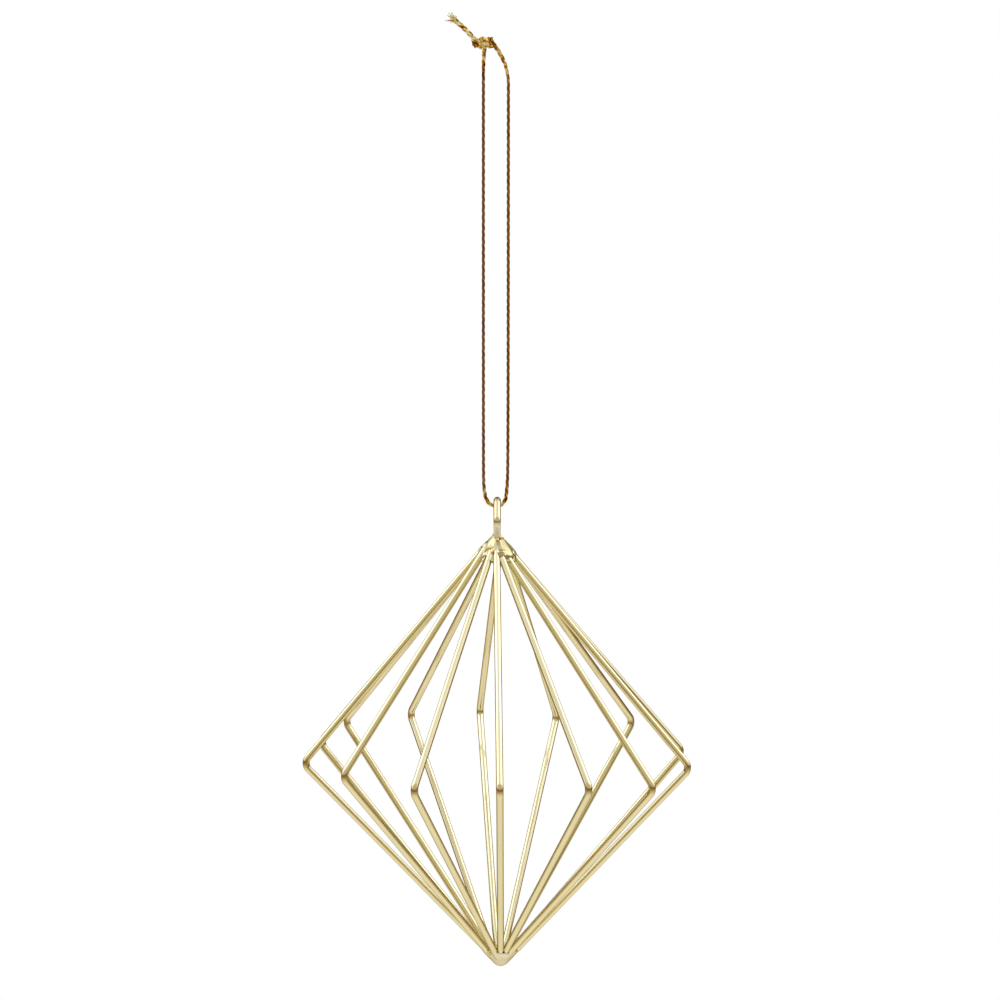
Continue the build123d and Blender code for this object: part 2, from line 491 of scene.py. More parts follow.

# Tails. The two cut ends of the cord stick out of the knot side by side, and their foil
# threads fray into a small brush, painted bright with glints as a highlight.
tail_routes = {
    "upper": [(-0.0048, 0.0023), (-0.00655, 0.0041), (-0.00827, 0.0059), (-0.0101, 0.0075), (-0.0107, 0.008)],
    "lower": [(-0.0051, 0.002), (-0.00673, 0.0039), (-0.00845, 0.0057), (-0.0104, 0.0072), (-0.0111, 0.0077)],
}
tail_depths = {"upper": 0.0004, "lower": -0.0004}
tail_shine_low = {"upper": 0.5, "lower": 0.45}
tail_shine_gain = {"upper": 0.25, "lower": 0.65}
tail_shine_pitch = 0.0023
tail_shine_phase = 2.4
tail_turn = 0.9
tail_strand_width = 0.00096
tail_heading_rows = 6
fray_threads = 36
fray_length = 0.00115
fray_width = 0.00052
fray_points = 9
fray_columns = 6
fray_spread = 0.55
fray_curl = 0.5
fray_scatter = 0.00012
fray_depth = 0.0004
fray_taper = 0.6
# Painted highlight: the frayed threads show mostly gold and glint.
fray_shine = 1.25
fray_uv_range = 40
fray_seed = 11
hair_every = 8
hair_length_share = 1.6
hair_width_share = 0.35


def frayed_threads(name, tip, heading, seed):
    """Flat foil threads that fan out of the cut end, each a thin ribbon that curls sideways.
    One in a few is a longer and thinner hair."""
    random = np.random.default_rng(seed)
    share = np.linspace(0, 1, fray_points)[:, None]
    taper = (1 - fray_taper * share)[:, :, None]
    angle = np.linspace(math.tau, 0, fray_columns, endpoint=False)
    ribbons = []
    for index in range(fray_threads):
        spread = random.normal(0, fray_spread, 3)
        curl = random.normal(0, fray_curl, 3)
        hair = index % hair_every == 0
        own = fray_length * random.uniform(0.6, 1.0) * (hair_length_share if hair else 1.0)
        width = fray_width * (hair_width_share if hair else 1.0)
        start = tip + random.normal(0, fray_scatter, 3) - heading * fray_depth
        line = start + own * (share * (heading + spread) + share**2 * curl * 0.5)
        tangent = unit(np.gradient(line, axis=0))
        across = unit(np.cross(tangent, random.normal(0, 1, 3)[None, :]))
        upward = np.cross(across, tangent)
        ring = line[:, None, :] + taper * (
            width / 2 * np.cos(angle)[None, :, None] * across[:, None, :]
            + width / 4 * np.sin(angle)[None, :, None] * upward[:, None, :]
        )
        uv = share[:, 0] * own * millimetres_in_metre + random.uniform(0, fray_uv_range)
        ribbon = grid_mesh(f"{name}_thread", ring, uv, foil_cord)
        set_number(ribbon, "shine", np.full(fray_points * fray_columns, fray_shine))
        ribbons.append(ribbon)
    return ribbons


for number, (name, tail_route) in enumerate(tail_routes.items()):
    tail_line = spline_points(f"tail_{name}_route", [(x, tail_depths[name], z) for x, z in tail_route])
    tail_along = evenly(tail_line, ply_step)[1]
    # Painted highlights: bright patches once in each lay along the tail, more on the lower tail.
    lay_highlight = 0.5 + 0.5 * np.sin(math.tau * tail_along / tail_shine_pitch + tail_shine_phase)
    tail_shine = tail_shine_low[name] + tail_shine_gain[name] * lay_highlight
    plies, tail_path = laid_plies(
        f"tail_{name}_plies", tail_line, cord_side, tail_turn * number, tail_strand_width, tail_shine
    )
    heading = unit(tail_path[-1] - tail_path[-tail_heading_rows])
    threads = frayed_threads(f"tail_{name}", tail_path[-1], heading, fray_seed + number)
    tail = join_pieces(f"tail_{name}", [plies, *threads])
    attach(tail, "cord")
    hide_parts(f"cord_tail_{name}")

# Cage wires. Fourteen pieces of round wire in a satin champagne-gold finish, each bent once
# over a small former. Their ends meet above and below, where they are brazed together. The
# lower ends at the sides and back are drawn into the bowl and run out to a point there. The
# shares are of the angle between two wires and of the wire's diameter: each wire was set a
# little off its even place by hand. The shifts set ends and beads a little off the axis.
rib_count = 14
wire_diameter = 0.0018
wire_radius = wire_diameter / 2
knee_reach = 0.0513
upper_height = 0.0578
lower_height = 0.0565
knee_bend_radius = 0.0024
top_level = -0.1237
knee_level = top_level - upper_height
bottom_level = knee_level - lower_height
upper_tip_reach = 0.0012
lower_tip_reach = 0.0010
upper_tip_shift = np.array([-0.0007, 0, 0])
lower_tip_shift = np.array([0.0012, 0, 0])
upper_bead_shift = np.array([-0.0002, 0, 0])
lower_bowl_shift = np.array([0.0009, 0, -0.0006])
bearing_shares = [0.03, 0.04, -0.03, -0.05, 0.13, 0.22, 0.28, 0.21, 0.08, 0.07, -0.39, 0.0, 0.08, 0.07]
knee_lift_shares = [1.1, 0.5, -1.1, -0.6, -1.6, 0.3, -0.5, 0.2, 0.3, 0.9, -1.0, -0.1, 0.8, 0.5]
top_aside_shares = [-0.1, -0.6, -0.6, 0.1, 0.2, -0.6, -0.7, -0.6, -0.6, 0.4, 0.3, -0.5, -0.5, 0.0]
bottom_aside_shares = [0.5, 0.0, -0.6, 0.0, 0.4, 0.2, -0.4, -0.1, 0.4, 0.0, 0.5, -0.1, -0.2, 0.6]
wire_columns = 40
end_taper = 0.5
end_taper_length = 0.0024
sunk_end_taper = 0.88
sunk_end_length = 0.0045
sunk_end_depth = 0.0003
sunk_depth_length = 0.0026
sunk_none_facing = -0.75
sunk_full_facing = -0.45
bend_press = 0.05
bend_press_length = 0.0017
knee_shade_length = 0.0011
arc_points = 23
run_points = 28
gold_edge = (0.40, 0.32, 0.17, 1)
satin_dull = (0.785, 0.705, 0.42, 1)
satin_light = (0.82, 0.72, 0.43, 1)
satin_painted_light = (0.84, 0.76, 0.55, 1)
satin_painted_shade = (0.42, 0.24, 0.07, 1)
satin_speck = (0.28, 0.17, 0.07, 1)


def satin_gold_sockets(tree):
    """Satin plating over drawn wire: faint lines along the wire, a fine grain, slow changes of
    tone and a few dark specks. The mesh's bend attribute mixes in a brown painted shade, which
    stands for dark reflections at the bends and shade on the eye. Pale paints it lighter, as
    painted light, and makes it less metallic and rougher."""
    tone = place_noise(tree, 70, 3.0).between(0.3, 0.7)
    grain = place_noise(tree, 2600, 2.0)
    lines = place_noise(tree, 1.0, 3.0, "UV", (22, 0.2, 1))
    specks = place_noise(tree, 520, 4.0).between(0.73, 0.78)
    bend = mesh_number(tree, "bend")
    pale = mesh_number(tree, "pale")
    plain = mix_colour(tree, tone, satin_dull, satin_light)
    # Painted light where pale is set, and painted shade in brown where bend is set.
    base = mix_colour(tree, pale, plain, satin_painted_light)
    with_painted_shade = mix_colour(tree, bend * 0.3, base, satin_painted_shade)
    colour = mix_colour(tree, specks * 0.6, with_painted_shade, satin_speck)
    return {
        "Base Color": colour,
        "Metallic": 1.0 - pale * 0.65,
        "Roughness": 0.11 + lines * 0.07 + specks * 0.2 + bend * 0.06 + pale * 0.2,
        "Specular Tint": gold_edge,
        "Normal": bumped(tree, grain * 0.4 + lines * 0.6, 0.000006),
    }


satin_gold = new_material("satin_gold", satin_gold_sockets)


def rib_corners(index):
    """Upper aim, bend corner and lower aim of one wire's centre line."""
    turn = (index + bearing_shares[index]) * math.tau / rib_count
    outward = np.array([math.sin(turn), -math.cos(turn), 0])
    sideways = np.array([math.cos(turn), math.sin(turn), 0])
    top = sideways * top_aside_shares[index] * wire_diameter + np.array([0, 0, top_level])
    knee = outward * knee_reach + np.array([0, 0, knee_level + knee_lift_shares[index] * wire_diameter])
    bottom = sideways * bottom_aside_shares[index] * wire_diameter + np.array([0, 0, bottom_level])
    top = top + upper_tip_shift * max(0.0, outward[0]) ** 2
    bottom = bottom + lower_tip_shift * outward[0] ** 2 + np.array([0, 0, lower_bowl_shift[2]])
    return top, knee, bottom


def bent_line(corners, radius):
    """Straight runs between the corners with an arc of one radius at each bend. Also gives the
    length up to each point and its distance from the middle of the nearest arc."""
    line = [np.array(corners[0])[None, :]]
    middles = []
    count = 1
    for before, corner, after in zip(corners, corners[1:], corners[2:]):
        back = unit(before - corner)
        onward = unit(after - corner)
        half = math.acos(np.dot(back, onward)) / 2
        inward = unit(back + onward)
        centre = corner + inward * radius / math.sin(half)
        turn = np.linspace(math.pi / 2 - half, half - math.pi / 2, arc_points)[:, None]
        arc = centre + radius * (np.sin(turn) * unit(back - onward) - np.cos(turn) * inward)
        share = np.linspace(0, 1, run_points)[1:-1, None]
        line += [line[-1][-1] + (arc[0] - line[-1][-1]) * share, arc]
        middles.append(count + run_points - 2 + arc_points // 2)
        count += run_points - 2 + arc_points
    share = np.linspace(0, 1, run_points)[1:, None]
    line.append(line[-1][-1] + (corners[-1] - line[-1][-1]) * share)
    line = np.vstack(line)
    lengths = lengths_along(line)
    apart = np.abs(lengths[:, None] - lengths[middles][None, :]).min(axis=1)
    return line, lengths, apart


def wire_piece(name, line, lengths, side, material, flatten=1.0, swell=1.0):
    """A round wire along a line. Side is a direction square to the plane that it bends in,
    flatten is its thickness in that plane, and swell is its whole size, both as shares."""
    tangent = unit(np.gradient(line, axis=0))
    across = unit(np.cross(side, tangent))
    upward = np.cross(tangent, across)
    angle = np.linspace(0, math.tau, wire_columns, endpoint=False)
    size = wire_radius * swell * np.ones(len(line))
    ring = (
        line[:, None, :]
        + (size[:, None] * np.cos(angle))[..., None] * across[:, None, :]
        + ((size * flatten)[:, None] * np.sin(angle))[..., None] * upward[:, None, :]
    )
    return grid_mesh(name, ring, lengths * millimetres_in_metre, material)


def sunk_lower_end(line, from_end, outward, tip):
    """The wire's line with its lower end drawn into the bowl, and how far it is sunk: 0 for a
    wire that faces the viewer, 1 for one at the sides or back. The end moves sideways onto the
    bowl's axis, and inward from where it would stand proud of the bowl."""
    sideways = np.array([-outward[1], outward[0], 0])
    sunk = step_between(outward[1], sunk_none_facing, sunk_full_facing)
    astray = np.dot(tip - lower_bowl_shift, sideways)
    drawn_in = sunk * astray * hump(from_end, 0.0, sunk_end_length)
    line = line - drawn_in[:, None] * sideways
    proud = max(0.0, np.dot(tip - lower_bowl_shift, outward) - lower_tip_reach) + sunk_end_depth
    pushed_in = sunk * proud * hump(from_end, 0.0, sunk_depth_length)
    return line - pushed_in[:, None] * outward, sunk


for index in range(rib_count):
    top, knee, bottom = rib_corners(index)
    upper_tip = top + (knee - top) * upper_tip_reach / knee_reach
    lower_tip = bottom + (knee - bottom) * lower_tip_reach / knee_reach
    line, lengths, from_bend = bent_line([upper_tip, knee, lower_tip], knee_bend_radius)
    side = unit(np.cross(top - knee, bottom - knee))[None, :]
    from_lower_end = lengths[-1] - lengths
    outward = unit((knee - bottom) * np.array([1, 1, 0]))
    line, sunk = sunk_lower_end(line, from_lower_end, outward, lower_tip)
    pressed = 1 + bend_press * hump(from_bend, 0.0, bend_press_length)
    lower_taper = end_taper + (sunk_end_taper - end_taper) * sunk
    swell = 1 - end_taper * np.maximum(0, 1 - lengths / end_taper_length)
    swell = swell - lower_taper * np.maximum(0, 1 - from_lower_end / end_taper_length)
    rib = wire_piece(f"cage_wire_{index + 1:02d}", line, lengths, side, satin_gold, pressed, swell)
    # Painted shade: a dark brown spot at each knee, which stands for the dark reflection there.
    set_number(rib, "bend", np.repeat(hump(from_bend, 0.0, knee_shade_length), wire_columns))
    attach(rib, "cage")
    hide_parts(f"rib_{index + 1:02d}")

# Upper braze. Filler metal that was flowed round the foot of the eye and over the tops of the
# wires. It covers their ends with a smooth bead and fills the valleys between them lower down.
braze_columns = 252
braze_rows = 110
rim_wave_start = 0.0022
rim_wave_end = 0.006
least_radius = 0.00002
hollow_depth = 0.00048
upper_slope = math.atan2(knee_reach, upper_height)
upper_rim = 0.0064
upper_edge = 0.0036
upper_edge_wave = 0.0003
bead_height = 0.00008
front_bead_height = 0.00016
side_sink = 0.0004
ripple_height = 0.00007
lump_height = 0.00034
drop_columns = 20
drop_rows = 13
drop_pole = 0.02
drop_side = [0.31, 0.85, 0.42]
drop_seed = 40
drop_heading_step = 0.001
flux_brown = (0.25, 0.15, 0.05, 1)


def braze_metal_sockets(tree, dull, light):
    """Cast filler metal between a dull and a light tone: coarser than the wire, with a few
    flux pits."""
    coarse = place_noise(tree, 900, 3.0)
    fine = place_noise(tree, 4200, 3.0)
    flux = place_noise(tree, 620, 4.0).between(0.69, 0.78)
    tone = place_noise(tree, 320, 3.0).between(0.35, 0.65)
    base = mix_colour(tree, tone, dull, light)
    colour = mix_colour(tree, flux * 0.4, base, flux_brown)
    return {
        "Base Color": colour,
        "Metallic": 1.0,
        "Roughness": 0.26 + coarse * 0.1 + flux * 0.2,
        "Specular Tint": gold_edge,
        "Normal": bumped(tree, coarse * 0.6 + fine * 0.4, 0.00003),
    }


def braze_metal(name, dull, light):
    """The filler metal's material between these two tones."""
    return new_material(name, lambda tree: braze_metal_sockets(tree, dull, light))


upper_metal = braze_metal("upper_braze_metal", (0.48, 0.405, 0.20, 1), (0.66, 0.58, 0.33, 1))
lower_metal = braze_metal("lower_braze_metal", (0.80, 0.72, 0.48, 1), (0.88, 0.82, 0.62, 1))
drop_metal = braze_metal("braze_drop_metal", (0.84, 0.64, 0.26, 1), (0.95, 0.80, 0.44, 1))


def wavy(angle, seed, waves):
    """A smooth closed wave round a circle: a sum of a few sines with random phases."""
    random = np.random.default_rng(seed)
    total = np.zeros_like(angle)
    for wave in waves:
        total = total + random.uniform(0.5, 1) * np.sin(wave * angle + random.uniform(0, math.tau))
    return total / len(waves)


def bump_at(angle, reach, bearing, place, wide, tall):
    """A round swelling on the shell at a bearing in degrees and a distance along the wires."""
    apart = np.angle(np.exp(1j * (angle - math.radians(bearing)))) * np.maximum(reach, 0.001)
    return np.exp(-((apart / wide) ** 2) - ((reach - place) / tall) ** 2)


def braze_shell(name, profile, slope, rim, lift, level, side, metal):
    """A shell round the axis. Its profile is a list of (radius, distance from the level), which
    is followed evenly. Each point is then pushed out square to the profile by lift(angle,
    distance, share), and the far edge moves with the wave of the rim."""
    angle = np.linspace(0, math.tau, braze_columns, endpoint=False)[None, :]
    places = lengths_along(profile)
    wanted = np.linspace(0, places[-1], braze_rows)
    radius = np.interp(wanted, places, profile[:, 0])
    drop = np.interp(wanted, places, profile[:, 1])
    forward = unit(np.stack([np.gradient(radius), np.gradient(drop)], axis=1))
    share = (wanted / places[-1])[:, None]
    stretch = 1 + rim(angle) * step_between(drop[:, None], rim_wave_start, rim_wave_end)
    push = lift(angle, drop[:, None] * np.ones_like(angle), share)
    grown_drop = drop[:, None] * stretch + push * -forward[:, :1]
    grown_radius = radius[:, None] + drop[:, None] * (stretch - 1) * math.tan(slope) + push * forward[:, 1:]
    grown_radius = np.maximum(grown_radius, least_radius)
    points = np.stack(
        [grown_radius * np.sin(angle), -grown_radius * np.cos(angle), level + side * grown_drop], axis=-1
    )
    return grid_mesh(name, points if side > 0 else points[:, ::-1], wanted * millimetres_in_metre, metal)


def solder_drop(name, place, heading, wide, tall, seed):
    """A set drop of filler: a ball, wide across its heading and tall along it, with soft dents."""
    angle = np.linspace(0, math.tau, drop_columns, endpoint=False)[None, :]
    polar = np.linspace(drop_pole, math.pi - drop_pole, drop_rows)[:, None]
    dent = 1 + 0.13 * wavy(angle + polar, seed, (2, 3)) + 0.1 * wavy(3 * polar + angle, seed + 1, (1, 2))
    first = unit(np.cross(heading, drop_side))
    second = np.cross(heading, first)
    width = wide * dent * np.sin(polar)
    points = (
        place
        - (tall * dent * np.cos(polar))[..., None] * heading
        + (width * np.cos(angle))[..., None] * first
        + (width * np.sin(angle))[..., None] * second
    )
    return grid_mesh(name, points, np.linspace(0, 1, drop_rows), drop_metal)


def on_cone(bearing, distance, lift, slope, level, side):
    """A point on the cone of the wires: at a bearing in degrees, a distance along the axis from
    the level, and lifted square to the wires."""
    turn = math.radians(bearing)
    radius = distance * math.tan(slope) + lift * math.cos(slope)
    height = level + side * (distance - lift * math.sin(slope))
    return np.array([radius * math.sin(turn), -radius * math.cos(turn), height])


def upper_profile():
    """Foot of the eye, outer faces of the wires, rim, and the hollow underside."""
    foot = [(0.0003, -0.0007), (0.0008, -0.00065), (0.0011, -0.0004), (0.00135, 0.0)]
    face = [
        (drop * math.tan(upper_slope) + wire_radius / math.cos(upper_slope), drop)
        for drop in np.linspace(0.0005, upper_rim, 12)
    ]
    reach = face[-1][0]
    rim = [(reach - 0.0005, upper_rim + 0.00032), (reach - 0.0013, upper_rim + 0.0003)]
    inside = [(reach - 0.0021, upper_rim - 0.0005), (0.0026, 0.0047), (0.0012, 0.0043), (0.0002, 0.0043)]
    return np.array(foot + face + rim + inside)


def from_front(angle):
    """An angle round the axis as the angle from the front, from minus to plus half a turn."""
    return (angle + math.pi) % math.tau - math.pi


def upper_lift(angle, drop, share):
    """A bead over the wire tops, which comes down in a lip at the front right, hollows between
    the wires further down, sunk sides, and set lumps."""
    outer = 1 - step_between(share, 0.62, 0.68)
    facing = from_front(angle)
    lip = step_between(facing, 0.0, 0.2) * (1 - step_between(facing, 0.8, 1.1))
    front = hump(facing, 0.3, 1.0)
    left = hump(facing, -0.45, 0.3)
    edge = upper_edge + 0.0015 * lip - 0.0012 * left + upper_edge_wave * wavy(angle, 12, (2, 3, 5, 9))
    bead = (bead_height + front_bead_height * front + bead_height * lip) * step_between(drop, 0.0, 0.0014)
    bead = bead * (1 - step_between(drop, edge - 0.002 + 0.0016 * lip, edge + 0.001 - 0.0007 * lip))
    hollow = -hollow_depth * step_between(drop, edge - 0.0002, edge + 0.0018 - 0.0012 * lip)
    sides = -side_sink * (1 - front) * (1 - step_between(drop, 0.0022, 0.0044))
    ripple = ripple_height * wavy(angle, 3, (7, 11, 17, 23)) * step_between(drop, 0.0002, 0.001)
    lumps = lump_height * (
        bump_at(angle, drop, 13, 0.0041, 0.0010, 0.0004)
        - 0.5 * bump_at(angle, drop, -3, 0.0043, 0.0004, 0.0003)
    )
    return outer * (bead + hollow + sides + ripple + lumps)


def upper_rim_wave(angle):
    """How far the fill between the wires reaches, as a share of the rim's usual distance."""
    facing = from_front(angle)
    front_gap = 0.25 * hump(facing, -0.6, 0.35)
    side_gaps = 0.42 * hump(np.abs(facing), 1.62, 0.4)
    return 0.08 * wavy(angle, 6, (2, 3, 5, 8)) - front_gap - side_gaps


# Each drop's bearing in degrees, distance from the level, lift, and size across and along.
upper_drops = [
    (12, 0.0009, 0.002, 0.00042, 0.00045),
    (9, 0.0014, 0.0016, 0.0005, 0.0005),
    (7, 0.0019, 0.0013, 0.00046, 0.0005),
    (24, 0.0014, 0.0016, 0.0004, 0.0006),
    (35, 0.0013, 0.0012, 0.0004, 0.0007),
    (-14, 0.0041, 0.00075, 0.00042, 0.001),
    (-24.5, 0.0035, 0.00095, 0.0004, 0.0006),
    (14, 0.0057, 0.0004, 0.00042, 0.0005),
    (17, 0.0066, 0.00035, 0.00034, 0.0005),
    (19.5, 0.0075, 0.0004, 0.0003, 0.00045),
    (21.5, 0.0086, 0.0006, 0.00026, 0.0004),
    (11, 0.0062, 0.0002, 0.00028, 0.0003),
    (24, 0.0052, 0.00085, 0.0004, 0.0006),
    (-36, 0.0062, 0.0004, 0.0003, 0.0006),
    (163, 0.0063, 0.0003, 0.0004, 0.0007),
    (-140, 0.0058, 0.0004, 0.0004, 0.0007),
]


def with_drops(shell, name, drops, slope, level, side):
    """The shell joined with its drops, which lie along the wires."""
    pieces = [shell]
    for number, (bearing, distance, lift, wide, tall) in enumerate(drops):
        place = on_cone(bearing, distance, lift, slope, level, side)
        ahead = on_cone(bearing, distance + drop_heading_step, lift, slope, level, side)
        heading = unit(ahead - place)
        pieces.append(solder_drop(f"{name}_drop", place, heading, wide, tall, drop_seed + number))
    return join_pieces(name, pieces)


upper_shell = braze_shell(
    "upper_shell", upper_profile(), upper_slope, upper_rim_wave, upper_lift, top_level, -1, upper_metal
)
upper_braze = with_drops(upper_shell, "upper_braze_bead", upper_drops, upper_slope, top_level, -1)
upper_braze.data.transform(Matrix.Translation(Vector(upper_bead_shift)))
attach(upper_braze, "cage")
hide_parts("top_braze")

# Lower braze. A smooth round bowl of filler metal that closes the cage. It covers the lower
# wire ends, and a few lumps of it set in the valleys between the wires.
lower_slope = math.atan2(knee_reach, lower_height)
lower_rim = 0.0045
lower_edge = 0.0033
lower_edge_wave = 0.0008
bowl_radius = 0.0024
bowl_cover = 0.00005
bowl_unevenness = 0.00004


def lower_profile():
    """Bowl, outer faces of the wires, rim and the lumpy inside."""
    centre = (bowl_radius - wire_radius) / math.sin(lower_slope)
    bowl = [
        (bowl_radius * math.cos(turn), centre - bowl_radius * math.sin(turn))
        for turn in np.linspace(math.pi / 2 - 0.03, lower_slope, 12)
    ]
    face = [
        (rise * math.tan(lower_slope) + wire_radius / math.cos(lower_slope), rise)
        for rise in np.linspace(0.0009, lower_rim, 8)
    ]
    reach = face[-1][0]
    rim = [(reach - 0.0005, lower_rim + 0.0003), (reach - 0.0014, lower_rim + 0.0002)]
    inside = [(0.0019, 0.0034), (0.0009, 0.0032), (0.0002, 0.0032)]
    return np.array(bowl + face + rim + inside)


def lower_lift(angle, rise, share):
    """The bowl stands just over the wires; hollows open between them near the rim."""
    outer = 1 - step_between(share, 0.66, 0.72)
    edge = lower_edge + lower_edge_wave * wavy(angle, 31, (3, 5, 8))
    cover = bowl_cover * (1 - step_between(rise, edge - 0.001, edge + 0.0007))
    hollow = -hollow_depth * step_between(rise, edge - 0.0003, edge + 0.0018)
    uneven = bowl_unevenness * wavy(angle, 33, (3, 5, 8)) * step_between(rise, 0.0006, 0.002)
    return outer * (cover + hollow + uneven)


def lower_rim_wave(angle):
    """How far the fill between the wires reaches, as a share of the rim's usual distance."""
    return 0.15 * wavy(angle, 36, (3, 5, 7, 11))


lower_drops = [
    (-38, 0.004, 0.0007, 0.0004, 0.0006),
    (-43, 0.0047, 0.0004, 0.0003, 0.0004),
    (39, 0.0042, 0.0006, 0.0004, 0.0007),
    (44, 0.0052, 0.0006, 0.0003, 0.0005),
    (35, 0.0036, 0.0007, 0.0003, 0.0003),
    (-13, 0.0044, 0.0002, 0.0003, 0.0006),
    (-11, 0.0068, 0.0, 0.0003, 0.0004),
    (95, 0.0045, 0.0004, 0.0004, 0.0006),
    (150, 0.0046, 0.0004, 0.0004, 0.0006),
    (-115, 0.0046, 0.0004, 0.0004, 0.0006),
    (-165, 0.0048, 0.0003, 0.0004, 0.0006),
]

lower_shell = braze_shell(
    "lower_shell", lower_profile(), lower_slope, lower_rim_wave, lower_lift, bottom_level, 1, lower_metal
)
lower_braze = with_drops(lower_shell, "lower_braze_bowl", lower_drops, lower_slope, bottom_level, 1)
lower_braze.data.transform(Matrix.Translation(Vector(lower_bowl_shift)))
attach(lower_braze, "cage")
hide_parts("bottom_braze")

# Hanging eye. One piece of the same wire, bent into a small diamond like the cage: both feet
# stand in the upper braze side by side, and the bend on top hangs on the cord. Its upper half
# has a brown painted shade, most at the crown and along the sides and a little at the bends,
# which stands for shade and dark reflections. Its lower half is painted pale, as painted
# light. The heights are shares of the way from the top of the cage to the crown.
eye_level = -0.114925
eye_bend_radius = 0.0016
eye_reach = 0.0048
eye_knee_drop = 0.00485
foot_reach = 0.0011
foot_drop = 0.0006
foot_depth = 0.00195
eye_swell = 1.05
upper_half = (0.5, 0.6)
upper_half_shade = 0.5
crown = (0.86, 1.02)
crown_shade = 1.1
eye_bend_shade = 0.5
eye_bend_length = 0.0007
shaded_sides = (0.45, 0.9)
side_shade = 1.8
lower_half_painted_light = 0.95


def eye_corners():
    """Foot, fork and bend of each half, and the corner over the cord. That corner lies where
    the runs would meet that touch an arc whose top is at the eye's level."""
    rise = eye_knee_drop - eye_bend_radius
    lean = math.atan2(eye_reach, rise) - math.asin(eye_bend_radius / math.hypot(eye_reach, rise))
    half = [
        (foot_reach, top_level - foot_depth),
        (foot_reach, top_level - foot_drop),
        (eye_reach, eye_level - eye_knee_drop),
    ]
    top = [(0.0, eye_level - eye_bend_radius + eye_bend_radius / math.sin(lean))]
    return [np.array([0.0, y, z]) for y, z in [(-y, z) for y, z in half] + top + half[::-1]]


eye_side = np.array([[1.0, 0, 0]])
eye_points, eye_lengths, eye_from_bend = bent_line(eye_corners(), eye_bend_radius)
eye = wire_piece("hanging_eye_wire", eye_points, eye_lengths, eye_side, satin_gold, swell=eye_swell)
# Painted shade on the upper half, at the crown, at the bends and along the sides; painted light on the lower
# half.
eye_height = (eye_points[:, 2] - top_level) / (eye_level - top_level)
in_upper_half = step_between(eye_height, *upper_half)
top_shade = upper_half_shade * in_upper_half + crown_shade * step_between(eye_height, *crown)
bend_spot_shade = eye_bend_shade * hump(eye_from_bend, 0.0, eye_bend_length) * step_between(eye_height, 0.1, 0.2)
eye_angle = np.linspace(0, math.tau, wire_columns, endpoint=False)
at_sides = step_between(np.abs(np.sin(eye_angle)), *shaded_sides)
eye_painted_shade = np.maximum(top_shade, bend_spot_shade)[:, None] + in_upper_half[:, None] * (at_sides * side_shade)
eye_painted_light = lower_half_painted_light - lower_half_painted_light * step_between(eye_height, 0.35, 0.5)
set_number(eye, "bend", eye_painted_shade.ravel())
set_number(eye, "pale", np.repeat(eye_painted_light, wire_columns))
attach(eye, "cage")
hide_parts("hanging_eye")

# Stage. A white table below and a white surround. The metal reflects a white ceiling with a
# sharp lower edge, and a table that dims towards a warm dark horizon.
# Under the object the camera sees half of the table's own shading, so a shadow can show.
floor_level = -0.62
floor_size = 12.0
floor_white = (0.9, 0.9, 0.9, 1)
shading_share = 0.5
shading_reach = 0.35
shading_end = 0.9
cage_middle = (0, 0, knee_level)
# Stops of the table's tone: from straight down at 0 to the horizon at 0.5.
table_stops = [
    (0.0, (1.0, 0.98, 0.95, 1)),
    (0.13, (1.0, 0.98, 0.95, 1)),
    (0.213, (0.90, 0.84, 0.73, 1)),
    (0.329, (0.62, 0.51, 0.31, 1)),
    (0.45, (0.23, 0.15, 0.055, 1)),
    (0.54, (0.18, 0.115, 0.045, 1)),
]
softbox_level = 1.15
ceiling_level = 0.78
dim_front = (0.64, 0.60, 0.47, 1)
dim_back = (0.27, 0.215, 0.125, 1)


def room_shade(tree, direction):
    """The room's colour in a direction. Below the horizon lies the table. Above it are a white
    softbox overhead and one at each side, with the dim room before and behind them."""
    parts = add_node(tree, "ShaderNodeSeparateXYZ", None, {0: direction})
    aside, ahead, height = (out(tree, parts, axis) for axis in "XYZ")
    ramp = add_node(tree, "ShaderNodeValToRGB", {"stops": table_stops}, {"Fac": height * 0.5 + 0.5})
    spread = aside.absolute()
    back_edge = 0.28 + 0.6 * spread.between(0.1, 0.5)
    front_edge = -0.36 - 0.25 * height.between(0.6, 0.9)
    box = (ahead - front_edge).between(-0.08, 0.08) * (1 - (ahead - back_edge).between(-0.07, 0.07))
    level = ceiling_level + (softbox_level - ceiling_level) * spread.between(0.1, 0.36)
    cool = add_node(tree, "ShaderNodeCombineColor", None, {0: level, 1: level * 1.04, 2: level * 1.18})
    white = out(tree, cool, "Color")
    dim = mix_colour(tree, ahead.between(-0.1, 0.4), dim_front, dim_back)
    room = mix_colour(tree, box, dim, white)
    return mix_colour(tree, height.between(0.08, 0.12), out(tree, ramp, "Color"), room)


def shown_white(tree, plain_shader, shade, whiteness=1.0):
    """White to the camera, the room's shade to reflections, and plain for other light. Where
    whiteness is under 1, the camera sees the rest of the surface as it is lit."""
    path = add_node(tree, "ShaderNodeLightPath")
    camera_ray = out(tree, path, "Is Camera Ray")
    clear = camera_ray.larger(out(tree, path, "Is Transmission Ray")) * whiteness
    glossy = out(tree, path, "Is Glossy Ray")
    colour = mix_colour(tree, glossy, (1, 1, 1, 1), shade)
    white = add_node(tree, "ShaderNodeEmission", None, {"Color": colour, "Strength": 1.0})
    mix = add_node(tree, "ShaderNodeMixShader", None, {0: clear.larger(glossy)})
    tree.links.new(plain_shader, mix.inputs[1])
    tree.links.new(white.outputs[0], mix.inputs[2])
    return mix.outputs[0]


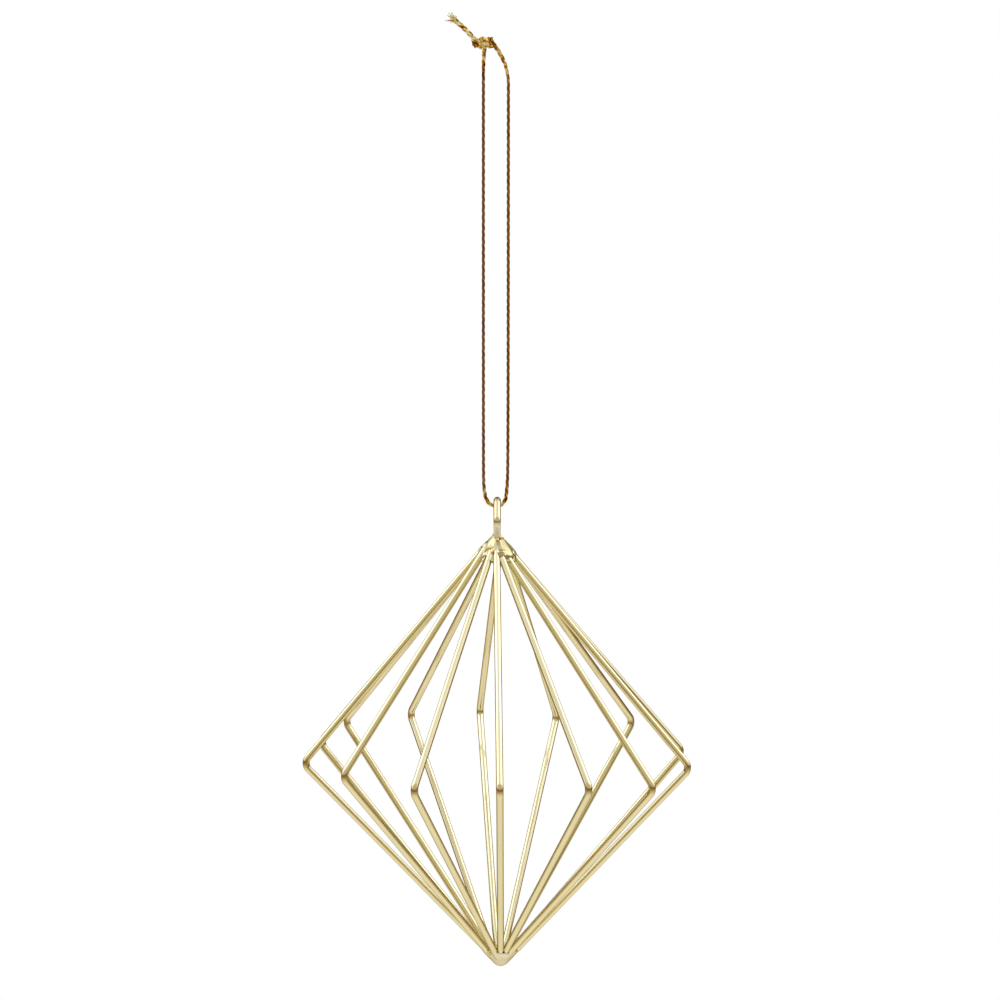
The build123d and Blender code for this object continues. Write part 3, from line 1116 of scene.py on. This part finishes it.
floor_material = bpy.data.materials.new("white_table")
floor_material.use_nodes = True
floor_tree = floor_material.node_tree
floor_shader = floor_tree.nodes["Principled BSDF"]
floor_shader.inputs["Base Color"].default_value = floor_white
floor_shader.inputs["Roughness"].default_value = 0.9
floor_spot = out(floor_tree, add_node(floor_tree, "ShaderNodeTexCoord"), "Object")
floor_apart = vector_math(floor_tree, "SUBTRACT", {0: floor_spot, 1: cage_middle})
floor_shade = room_shade(floor_tree, vector_math(floor_tree, "NORMALIZE", {0: floor_apart}))
floor_across = vector_math(floor_tree, "MULTIPLY", {0: floor_spot, 1: (1, 1, 0)})
floor_reach = vector_math(floor_tree, "LENGTH", {0: floor_across}, "Value")
floor_whiteness = 1 - shading_share + shading_share * floor_reach.between(shading_reach, shading_end)
floor_tree.links.new(
    shown_white(floor_tree, floor_shader.outputs[0], floor_shade, floor_whiteness),
    floor_tree.nodes["Material Output"].inputs["Surface"],
)
half = floor_size / 2
floor_corners = [(x * half, y * half, floor_level) for x, y in ((-1, -1), (1, -1), (1, 1), (-1, 1))]
floor_mesh = bpy.data.meshes.new("table")
floor_mesh.from_pydata(floor_corners, [], [(0, 1, 2, 3)])
floor_mesh.materials.append(floor_material)
floor = bpy.data.objects.new("table", floor_mesh)
bpy.context.collection.objects.link(floor)


def softbox(name, place, width, height, power):
    """A soft rectangular lamp that faces the middle of the cage."""
    data = bpy.data.lights.new(name, "AREA")
    data.shape = "RECTANGLE"
    data.size = width
    data.size_y = height
    data.energy = power
    lamp = bpy.data.objects.new(name, data)
    lamp.location = place
    lamp.rotation_euler = (Vector(cage_middle) - Vector(place)).to_track_quat("-Z", "Y").to_euler()
    bpy.context.collection.objects.link(lamp)


softbox("softbox_left", (-0.8, 0.1, 0.55), width=0.6, height=0.6, power=1.45)
softbox("softbox_right", (0.8, 0.1, 0.55), width=0.6, height=0.6, power=1.45)
softbox("softbox_top", (0.0, -0.15, 0.85), width=0.9, height=0.3, power=0.2)

world = bpy.data.worlds.new("white_room")
bpy.context.scene.world = world
world.use_nodes = True
world_tree = world.node_tree
world_plain = world_tree.nodes["Background"]
world_plain.inputs["Color"].default_value = (1, 1, 1, 1)
world_plain.inputs["Strength"].default_value = 0.95
world_spot = add_node(world_tree, "ShaderNodeTexCoord")
world_shade = room_shade(world_tree, out(world_tree, world_spot, "Generated"))
world_tree.links.new(
    shown_white(world_tree, world_plain.outputs[0], world_shade),
    world_tree.nodes["World Output"].inputs["Surface"],
)
bpy.context.scene.view_settings.view_transform = "Standard"
